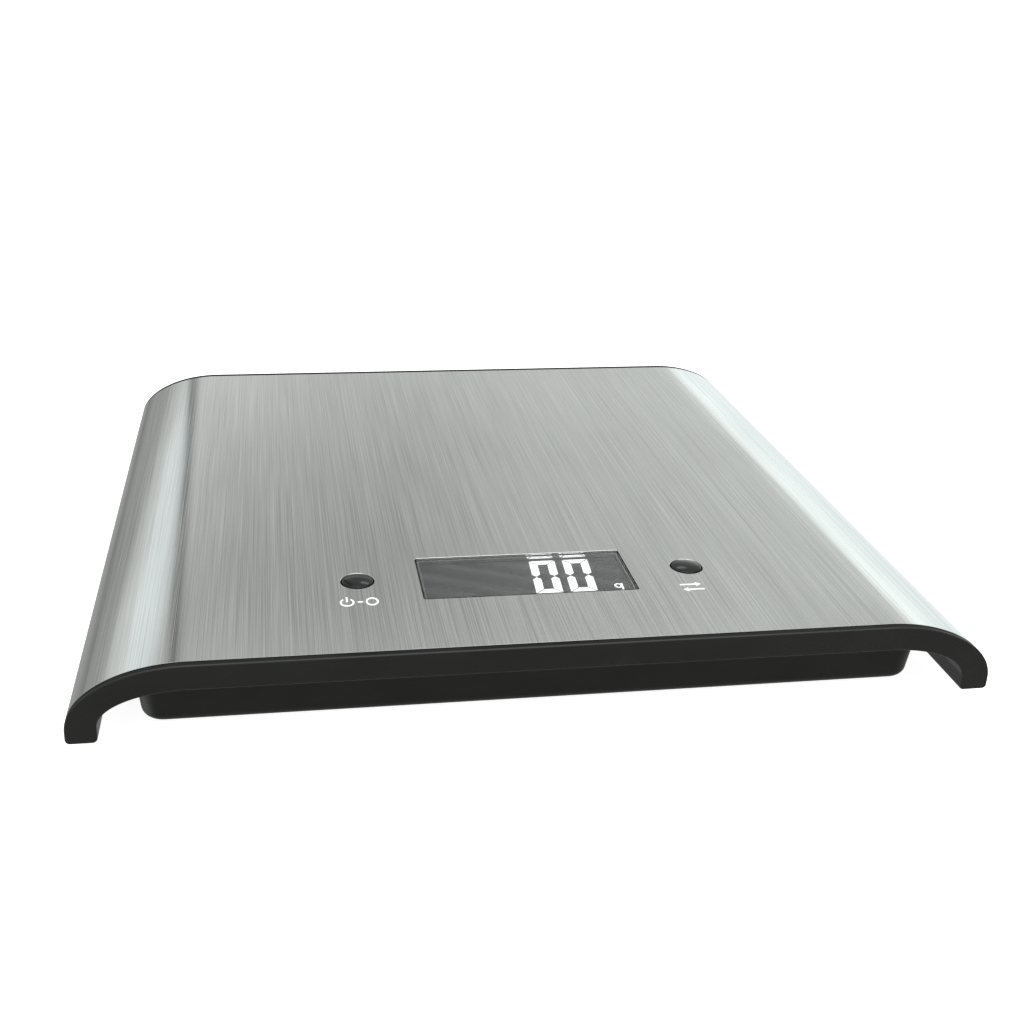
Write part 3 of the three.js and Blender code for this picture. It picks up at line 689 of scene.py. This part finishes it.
def steel_cover():
    """The bent steel sheet between the lips, with its openings and its brushing."""
    sheet = along_y("steel_cover_detail", cover_outline(), COVER_HIGH.y, 0.12 * MM, 2)
    shape(sheet, control_cutters(TOP_Z - 3 * MM))
    lay_brushing(sheet)
    finish_piece(sheet, "platform", MATERIALS["brushed_steel"], ["steel_cover"])


# ---------------------------------------------------------------- display

def display_lens():
    low_edge, high_edge = 0.08 * MM, 0.14 * MM
    levels = rounded_ends(LENS_LOW.z, LENS_HIGH.z, low_edge, high_edge, 3)
    lens = upright("display_lens_detail", window_loop(0, WINDOW_CORNER - WINDOW_GAP), levels)
    finish_piece(lens, "platform", MATERIALS["clear_window"], ["display_lens"])


def light_shield():
    """A thin bright foil lining the opening between the window and the LCD."""
    outside = window_loop(WINDOW_GAP - LEDGE - FOIL_GAP)
    lining = slab("display_foil", outside, LCD_FACE - 0.2 * MM, LEDGE_Z + 0.12 * MM)
    inside = inset(outside, FOIL_THICK)
    shape(lining, [slab("cut", inside, LCD_LOW.z, TOP_Z)])
    finish_piece(lining, "platform", MATERIALS["foil"])


def lcd_panel():
    """The LCD's glass, with softened edges."""
    half = ((LCD_HIGH.x - LCD_LOW.x) / 2, (LCD_HIGH.y - LCD_LOW.y) / 2)
    loop = rounded_rectangle(middle_of("lcd_panel"), half, LCD_CORNER)
    edge = 0.1 * MM
    panel = slab("lcd_panel_detail", loop, LCD_LOW.z, LCD_FACE, edge, edge, 2)
    finish_piece(panel, "platform", MATERIALS["lcd_glass"], ["lcd_panel"])


def slanted(left, bottom):
    """A function that places points of a character whose upright strokes lean to the right."""
    return lambda x, y: (left + x + y * SLANT, bottom + y)


def upright_segment(gap):
    """The lower left stroke of a seven-segment digit, mitred at its foot and pointed at its head."""
    stroke = DIGIT["stroke"]
    head = DIGIT["height"] / 2 - gap
    side = head - stroke / 2
    return [(0, gap), (stroke, stroke + gap), (stroke, side), (stroke / 2, head), (0, side)]


def level_segment(gap):
    """The lowest stroke of a seven-segment digit, mitred at both ends."""
    stroke, width = DIGIT["stroke"], DIGIT["width"]
    return [(gap, 0), (width - gap, 0), (width - stroke - gap, stroke), (stroke + gap, stroke)]


def zero_digit(left, bottom, low, high):
    """A seven-segment zero: all of its segments but the middle one."""
    place = slanted(left, bottom)
    width, height, gap = DIGIT["width"], DIGIT["height"], DIGIT["gap"]
    bars = []
    for flip_y in (False, True):
        bars.append([(x, height - y if flip_y else y) for x, y in level_segment(gap)])
        for flip_x in (False, True):
            side = [(width - x if flip_x else x, y) for x, y in upright_segment(gap)]
            bars.append([(x, height - y if flip_y else y) for x, y in side])
    return [slab("bar", [place(*corner) for corner in bar], low, high) for bar in bars]


def unit_mark(left, bottom, low, high):
    """A small g for grams: a round bowl, an upright stroke and a foot."""
    stroke, tall = 0.5 * MM, 4.45 * MM
    bowl = (1.05 * MM, 1.25 * MM)
    middle = (left + bowl[0], bottom + tall - bowl[1])
    place = slanted(left + 2 * bowl[0] - stroke, bottom)
    stem = [place(*corner) for corner in ((0, 0), (stroke, 0), (stroke, tall), (0, tall))]
    foot_bar = flat_bar((left + bowl[0], bottom + stroke / 2), (bowl[0], stroke / 2), low, high)
    return [ring(middle, bowl, (stroke, stroke), low, high), slab("bar", stem, low, high), foot_bar]


def display_digits():
    """The lit segments, as thin raised shapes just over the LCD's face."""
    low = LCD_FACE + SEGMENT_LIFT
    high = low + PRINT_THICK
    pieces = []
    for left in DIGITS_LEFT:
        pieces += zero_digit(left, DIGITS_BOTTOM, low, high)
    pieces += unit_mark(22.9 * MM, DIGITS_BOTTOM - 0.9 * MM, low, high)
    digits = merged("display_digits", pieces)
    finish_piece(digits, "platform", MATERIALS["lit_segment"])


# ---------------------------------------------------------------- buttons and their marks

def button(name):
    """A glossy cap with a low dome, a rounded rim, and its retaining flange and stem under the deck."""
    low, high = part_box(f"{name}_button")
    tip_r = 0.02 * MM
    flange = DECK_BOTTOM - FLANGE_GAP
    profile = [(tip_r, low.z), (STEM_R, low.z), (STEM_R, flange - FLANGE_THICK)]
    profile += [(FLANGE_R, flange - FLANGE_THICK), (FLANGE_R, flange), (CAP_R, flange)]
    profile += arc((CAP_R - CAP_RIM, TOP_Z - CAP_SINK), (CAP_RIM, CAP_RIM), 0, 62, 6)
    crown_r, crown_z = profile[-1]
    steps = 16
    for i in range(1, steps + 1):
        r = crown_r * (1 - i / steps)
        rise = (high.z - crown_z) * (1 - (r / crown_r) ** 2.1)
        profile.append((max(r, tip_r), crown_z + rise))
    cap = turned(f"{name}_button_detail", button_center(name), profile, 96)
    finish_piece(cap, name, MATERIALS["button_plastic"], [f"{name}_button"], 50)


def ring(center, radii, strokes, low, high):
    """A flat oval ring, with one width for its left and right sides and one for its front and back."""
    sides = 48
    end = 360 - 360 / sides
    hole_radii = [r - stroke for r, stroke in zip(radii, strokes)]
    outer = slab("ring", arc(center, radii, 0, end, sides - 1), low, high)
    hole = slab("cut", arc(center, hole_radii, 0, end, sides - 1), low - REACH, high + REACH)
    return shape(outer, [hole])


def flat_bar(center, half, low, high):
    """A thin bar about a centre, from its half length in X and in Y."""
    (x, y), (half_x, half_y) = center, half
    return block("bar", (x - half_x, y - half_y, low), (x + half_x, y + half_y, high))


def marks_middle(name):
    """The middle of the marks in front of a button."""
    x, y = button_center(name)
    offset_x, offset_y = MARKS_OFFSET[name]
    return (x + offset_x, y + offset_y)


def left_marks():
    """Generic marks for on and zero: a ring broken by a bar, a dash, and a plain 0."""
    low, high = TOP_Z, TOP_Z + PRINT_THICK
    x, y = marks_middle("on_zero")
    power_x = x - 3.0 * MM
    strokes = (0.5 * MM, 0.65 * MM)
    power = ring((power_x, y), (1.85 * MM, 2.1 * MM), strokes, low, high)
    gap_low = (power_x - 0.9 * MM, y + 0.6 * MM, low - REACH)
    gap_high = (power_x + 0.9 * MM, y + 3 * MM, high + REACH)
    shape(power, [block("cut", gap_low, gap_high)])
    bar = flat_bar((power_x, y + 1.5 * MM), (0.25 * MM, 1.3 * MM), low, high)
    dash = flat_bar((x + 0.35 * MM, y), (0.7 * MM, 0.32 * MM), low, high)
    zero = ring((x + 3.3 * MM, y), (1.65 * MM, 2.1 * MM), strokes, low, high)
    marks = merged("on_zero_marks", [power, bar, dash, zero])
    finish_piece(marks, "platform", MATERIALS["white_print"])


def right_marks():
    """A generic mark for changing the unit: two arrows that point opposite ways."""
    low, high = TOP_Z, TOP_Z + PRINT_THICK
    x, y = marks_middle("unit")
    spacing, shaft = 1.35 * MM, (2.1 * MM, 0.34 * MM)
    head_length, head_half = 1.5 * MM, 1.1 * MM
    pieces = []
    for way in (1, -1):
        line_y = y + way * spacing
        neck = x + way * 1.3 * MM
        tip = neck + way * head_length
        pieces.append(flat_bar((neck - way * shaft[0], line_y), shaft, low, high))
        head = [(neck, line_y - head_half), (tip, line_y), (neck, line_y + head_half)]
        pieces.append(slab("head", head, low, high))
    marks = merged("unit_marks", pieces)
    finish_piece(marks, "platform", MATERIALS["white_print"])


# ---------------------------------------------------------------- base

def leaning_block(name, margin, low, high, edge, steps=7):
    """A tray-shaped block whose sides lean in towards the bottom, with a rounded bottom edge."""
    half = (BASE_HALF_X - margin, BASE_HALF_Y - margin)
    loop = rounded_rectangle((0, 0), half, BASE_CORNER - margin, 14)
    rings = []
    for distance, z in rounded_ends(low, high, edge, 0, steps):
        lean = (BASE_TOP - z) * BASE_LEAN
        sx = 1 - lean / BASE_HALF_X
        sy = 1 - lean / BASE_HALF_Y
        rings.append([(x * sx, y * sy, z) for x, y in inset(loop, distance)])
    return skin(name, rings)


def battery_room_cutters():
    """Tools for the battery's room, the door's opening, the hooks, the contacts and a thumb scoop."""
    x, y = middle_of("coin_cell")
    opening_low = (DOOR_LOW.x - DOOR_GAP, OPENING_FRONT, 0)
    opening_high = (DOOR_HIGH.x + DOOR_GAP, DOOR_HIGH.y + DOOR_GAP, DOOR_HIGH.z + 0.2 * MM)
    tools = [
        slab("cut", rounded_rectangle((x, y), (ROOM_HALF, ROOM_HALF), ROOM_CORNER), 0, ROOM_TOP),
        block("cut", opening_low, opening_high),
    ]
    slot_half = HOOK_HALF + DOOR_GAP
    contact_half_x, contact_half_y = CONTACT_SLOT_HALF
    for side in (-1, 1):
        hook_x = x + side * HOOK_X
        low = (hook_x - slot_half, OPENING_FRONT - HOOK_SLOT_DEPTH, BASE_BOTTOM + 0.35 * MM)
        tools.append(block("cut", low, (hook_x + slot_half, OPENING_FRONT + REACH, BASE_FLOOR + 0.4 * MM)))
        contact_x = x + side * CONTACT_X
        low = (contact_x - contact_half_x, y - contact_half_y, ROOM_TOP - REACH)
        tools.append(block("cut", low, (contact_x + contact_half_x, y + contact_half_y, ROOM_TOP + 4 * MM)))
    scoop = rounded_rectangle((x, DOOR_HIGH.y + 1.3 * MM), (GRIP_HALF, 2 * MM), 1.5 * MM)
    levels = [(-0.5 * MM, 0), (0, BASE_BOTTOM + 0.5 * MM), (0.5 * MM, BASE_BOTTOM + 0.9 * MM)]
    tools.append(upright("cut", scoop, levels))
    return tools


def well(place, radius, edge, top, sides):
    """A round cutting tool from below, which opens out by an edge at the tray's underside."""
    levels = [(-edge, 0), (-edge, BASE_BOTTOM), (0, BASE_BOTTOM + edge), (0, top)]
    return upright("cut", circle(place, radius, sides), levels)


def base_tray():
    """The open tray, cut to the arch, with its load cell pad, battery room, stops and wells."""
    tray = leaning_block("base_tray_detail", 0, BASE_BOTTOM, BASE_TOP, BASE_EDGE)
    shape(tray, [
        leaning_block("cut", BASE_WALL, BASE_FLOOR, BASE_TOP + 10 * MM, 1 * MM, 4),
        along_y("cut", space_under_arch(), HALF_Y),
    ])
    foot_z = BASE_FLOOR - SINK
    room_half = ROOM_HALF + ROOM_WALL
    room = rounded_rectangle(middle_of("coin_cell"), (room_half, room_half), ROOM_CORNER + 1 * MM)
    added = [
        block("pad", (*PAD_LOW, foot_z), (*PAD_HIGH, PAD_TOP)),
        slab("room", room, foot_z, ROOM_TOP + ROOM_WALL),
    ]
    added += [rod("stop", place, STOP_R, foot_z, STOP_TOP) for place in STOPS]
    shape(tray, added, "UNION")
    tools = battery_room_cutters()
    for index in BACK_SCREWS:
        place = (0, middle_of(f"cell_screw_back_{index}")[1])
        tools.append(rod("cut", place, SCREW_HOLE_R, 0, TOP_Z))
        tools.append(well(place, SCREW_WELL_R, 0.4 * MM, SCREW_SEAT_Z, 56))
    for name in FEET:
        node = f"foot_{name}"
        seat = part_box(node)[1].z + FOOT_SEAT_GAP
        tools.append(well(middle_of(node), FOOT_WELL_R, 0.2 * MM, seat, 72))
    shape(tray, tools)
    finish_piece(tray, "base", MATERIALS["tray_plastic"], ["base_tray"])


def foot(name):
    """A rubber disc with a rounded edge, a hollow in its middle and a moulded groove around it."""
    node = f"foot_{name}"
    low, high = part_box(node)
    radius = (high.x - low.x) / 2
    hollow, groove = 0.25 * MM, 0.35 * MM
    edge = 0.7 * MM
    profile = [(AXIS_R, hollow), (2.4 * MM, hollow), (2.7 * MM, 0), (5.0 * MM, 0)]
    profile += [(5.2 * MM, groove), (5.7 * MM, groove), (5.9 * MM, 0)]
    profile += arc((radius - 0.8 * MM, edge), (edge, edge), -90, 0, 6)
    profile += [(radius, high.z), (AXIS_R, high.z)]
    pad = turned(f"{node}_detail", middle_of(node), profile)
    finish_piece(pad, "base", MATERIALS["rubber"], [node])


def back_screw(index):
    """A pan-head screw seen from below, with a cross recess."""
    node = f"cell_screw_back_{index}"
    low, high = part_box(node)
    center = middle_of(node)
    radius = (high.x - low.x) / 2
    head_edge = 0.9 * MM
    head_top = SCREW_SEAT_Z - 0.2 * MM
    crest, root, pitch = 1.9 * MM, 1.6 * MM, 0.7 * MM
    profile = [(AXIS_R, low.z), (radius - head_edge, low.z)]
    profile += arc((radius - head_edge, low.z + head_edge), (head_edge, head_edge), -90, 0, 6)
    profile += [(radius, head_top), (crest, head_top)]
    z = head_top + 0.3 * MM
    while z < high.z - 1.2 * MM:
        profile += [(crest, z), (root, z + pitch / 2)]
        z += pitch
    profile += [(crest, z), (1.2 * MM, high.z), (AXIS_R, high.z)]
    screw = turned(f"{node}_detail", center, profile, 40)
    long, thin, deep = 2.1 * MM, 0.38 * MM, 0.9 * MM
    levels = [(-0.08 * MM, low.z - REACH), (-0.08 * MM, low.z), (0.1 * MM, low.z + deep)]
    for half in ((long, thin), (thin, long)):
        loop = rounded_rectangle(center, half, 0.2 * MM, 2)
        shape(screw, [upright("cut", loop, levels)])
    finish_piece(screw, "base", MATERIALS["plated_steel"], [node])


def battery_door():
    """A flat door with softened edges, two hooks at the front and thumb grooves at the back."""
    low, high = DOOR_LOW, DOOR_HIGH
    center_x = (low.x + high.x) / 2
    lid_center = (center_x, (LID_FRONT + high.y) / 2)
    lid_half = ((high.x - low.x) / 2, (high.y - LID_FRONT) / 2)
    lid = rounded_rectangle(lid_center, lid_half, 0.4 * MM, 4)
    door = slab("battery_door_detail", lid, low.z, high.z, 0.25 * MM, 0)
    hooks = []
    for side in (-1, 1):
        x = center_x + side * HOOK_X
        hook_low = (x - HOOK_HALF, low.y, low.z + 0.6 * MM)
        hooks.append(block("hook", hook_low, (x + HOOK_HALF, LID_FRONT + 0.7 * MM, high.z)))
    shape(door, hooks, "UNION")
    grooves = []
    spacing, slope = 1.6 * MM, 0.1 * MM
    levels = [(-slope, 0), (-slope, low.z), (slope, low.z + 0.4 * MM)]
    for i in range(5):
        y = high.y - 2.7 * MM - i * spacing
        loop = rounded_rectangle((center_x, y), (GRIP_HALF, 0.35 * MM), 0.3 * MM, 4)
        grooves.append(upright("cut", loop, levels))
    shape(door, grooves)
    finish_piece(door, "door", MATERIALS["tray_plastic"], ["battery_door"])


# ---------------------------------------------------------------- studio

# The camera's place in metres, its unit directions, its focal length in mm, and its lens shift.
CAMERA_PLACE = (-0.06343, -0.36653, 0.17789)
CAMERA_FORWARD = Vector((0.15145, 0.91879, -0.36454))
CAMERA_UP = Vector((0.02887, 0.36453, 0.93075))
CAMERA_FOCUS = 45.22
CAMERA_SHIFT = (0.03525, -0.06455)


def camera():
    data = bpy.data.cameras.new("camera")
    data.sensor_width = 36
    data.lens = CAMERA_FOCUS
    data.shift_x, data.shift_y = CAMERA_SHIFT
    data.clip_start = 0.01
    obj = bpy.data.objects.new("camera", data)
    bpy.context.scene.collection.objects.link(obj)
    right = CAMERA_FORWARD.cross(CAMERA_UP)
    turn = Matrix((right, CAMERA_UP, -CAMERA_FORWARD)).transposed().to_4x4()
    obj.matrix_world = Matrix.Translation(CAMERA_PLACE) @ turn
    bpy.context.scene.camera = obj


def direction(azimuth, elevation):
    """A unit vector. Azimuth is in degrees, clockwise from straight behind the object."""
    turn, rise = math.radians(azimuth), math.radians(elevation)
    return Vector((math.sin(turn) * math.cos(rise), math.cos(turn) * math.cos(rise), math.sin(rise)))


# Soft darker patches of the wall behind, as azimuth, elevation and radius in degrees, and how dark.
DARK_PATCHES = [(2.5, 24.5, 9.5, 0.16), (10.8, 23, 13.2, 0.12), (-6, 25, 8, 0.07)]
# A dark upright seam in the wall behind: its azimuth, and how dark.
SEAM_AZIMUTH = -10
SEAM_DEPTH = 0.72
SKIRTING = 0.39
COOL = (0.9, 1.0, 1.02)
BLUISH = (0.78, 0.92, 1.12)
WHITE = (1, 1, 1)


def world_light():
    """A pale wall with patches and a seam behind, over a dim skirting, and a plainer front and ceiling."""
    world = bpy.data.worlds.new("studio")
    world.use_nodes = True
    tree = world.node_tree

    def feed(node, values):
        """Sets or links a node's inputs in order, and gives its first output."""
        for socket, value in zip(node.inputs, values):
            if isinstance(value, bpy.types.NodeSocket):
                tree.links.new(value, socket)
            else:
                socket.default_value = value
        return node.outputs[0]

    def ramp(value, start, end, low, high):
        """Goes smoothly from low to high as the value goes from start to end."""
        node = tree.nodes.new("ShaderNodeMapRange")
        node.interpolation_type = "SMOOTHSTEP"
        return feed(node, (value, start, end, low, high))

    def total(a, b):
        """The sum of two values or outputs."""
        return feed(tree.nodes.new("ShaderNodeMath"), (a, b))

    def facing(aim):
        """How squarely a direction looks towards an aim, from -1 to 1."""
        node = tree.nodes.new("ShaderNodeVectorMath")
        node.operation = "DOT_PRODUCT"
        feed(node, (toward, aim))
        return node.outputs["Value"]

    def size_of(value):
        """A value without its sign."""
        node = tree.nodes.new("ShaderNodeMath")
        node.operation = "ABSOLUTE"
        return feed(node, (value,))

    toward = tree.nodes.new("ShaderNodeTexCoord").outputs["Generated"]
    rise = facing((0, 0, 1))
    wall = ramp(rise, 0.34, 0.5, 0.82, 0.64)
    for azimuth, elevation, radius, depth in DARK_PATCHES:
        edge = math.cos(math.radians(radius))
        wall = total(wall, ramp(facing(direction(azimuth, elevation)), edge, 1.0, 0.0, -depth))
    seam = size_of(facing(direction(SEAM_AZIMUTH + 90, 0)))
    wall = total(wall, ramp(seam, 0.0, 0.036, -SEAM_DEPTH, 0.0))
    dip = size_of(total(rise, 0.11))
    skirting = total(ramp(dip, 0.0, 0.1, -0.14, 0.0), SKIRTING)
    behind = ramp(rise, 0.13, 0.28, skirting, wall)
    before = ramp(rise, -0.05, 0.25, 0.36, 0.6)
    ceiling = ramp(rise, 0.74, 0.9, 0.0, 0.7)
    strength = total(ramp(facing((0, 1, 0)), -0.3, 0.3, before, behind), ceiling)
    background = tree.nodes["Background"]
    background.inputs["Color"].default_value = (0.97, 1.0, 0.985, 1)
    tree.links.new(strength, background.inputs["Strength"])
    bpy.context.scene.world = world


# Each light's name, shape, azimuth and elevation in degrees, distance and size in metres, radiance,
# tilt and tint. The floor doesn't block the one that is below it.
LIGHTS = [
    ("softbox_right", "RECTANGLE", 44.9, 0.2, 1.7, (1.7, 1.24), 0.74, 19, COOL),
    ("softbox_left", "ELLIPSE", -26.4, 25.6, 1.8, (0.94, 0.36), 0.25, 141, BLUISH),
    ("softbox_above", "RECTANGLE", 160, 72, 1.5, (1.6, 1.2), 0.7, 0, WHITE),
    ("softbox_spark", "ELLIPSE", 15, 43, 1.6, (0.36, 0.2), 2.2, 0, WHITE),
    ("softbox_side", "RECTANGLE", -95, -31, 1.4, (1.1, 0.6), 0.85, 0, COOL),
]


def softbox(name, shape_name, azimuth, elevation, distance, size, radiance, tilt, tint):
    """A light aimed at the object, tilted by some degrees counter-clockwise as the object sees it."""
    data = bpy.data.lights.new(name, "AREA")
    data.shape = shape_name
    data.size, data.size_y = size
    data.color = tint
    face = 1 if shape_name == "RECTANGLE" else math.pi / 4
    data.energy = radiance * math.pi * size[0] * size[1] * face
    obj = bpy.data.objects.new(name, data)
    bpy.context.scene.collection.objects.link(obj)
    place = direction(azimuth, elevation) * distance
    aim = (-place).to_track_quat("-Z", "Y").to_matrix().to_4x4()
    obj.matrix_world = Matrix.Translation(place) @ aim @ Matrix.Rotation(math.radians(-tilt), 4, "Z")
    obj.visible_camera = False


def studio():
    bpy.context.scene.view_settings.view_transform = "Standard"
    world_light()
    for light in LIGHTS:
        softbox(*light)


# The backdrop's profile as (radius, height), and the half width of the floor, in metres.
DOME = [(11.5, -0.5), (11.5, 6), (8, 10), (1, 11)]
FLOOR_HALF = 12


def backdrop():
    """A plain white dome far behind everything, which only the camera sees."""
    dome = turned("backdrop", (0, 0), DOME, 48)
    dome.data.materials.append(glowing("backdrop", (0, 0, 0), 1.0, 1.0).material)
    for ray in ("diffuse", "glossy", "transmission", "shadow"):
        setattr(dome, f"visible_{ray}", False)


def pale_floor():
    """A pale sheet just under the feet, lit up almost to white."""
    data = bmesh.new()
    bmesh.ops.create_grid(data, x_segments=2, y_segments=2, size=FLOOR_HALF)
    floor = new_object("floor", data)
    floor.location.z = -0.05 * MM
    paper = glowing("floor", (0.86, 0.86, 0.86), 0.85, 0.92)
    fibres = paper.noise((0.01, 0.01, 0.01), 2, 1.0)
    paper.tones(paper.spread(fibres, 0, 1), (0.84, 0.84, 0.84), (0.88, 0.88, 0.88))
    floor.data.materials.append(paper.material)
    floor.visible_glossy = False
    floor.visible_shadow = False


# ---------------------------------------------------------------- assembly

camera()
studio()
pale_floor()
backdrop()
paint_frame_nodes()
platform_frame()
steel_cover()
display_lens()
light_shield()
lcd_panel()
display_digits()
for button_name in BUTTONS:
    button(button_name)
left_marks()
right_marks()
base_tray()
for foot_name in FEET:
    foot(foot_name)
for screw_index in BACK_SCREWS:
    back_screw(screw_index)
battery_door()
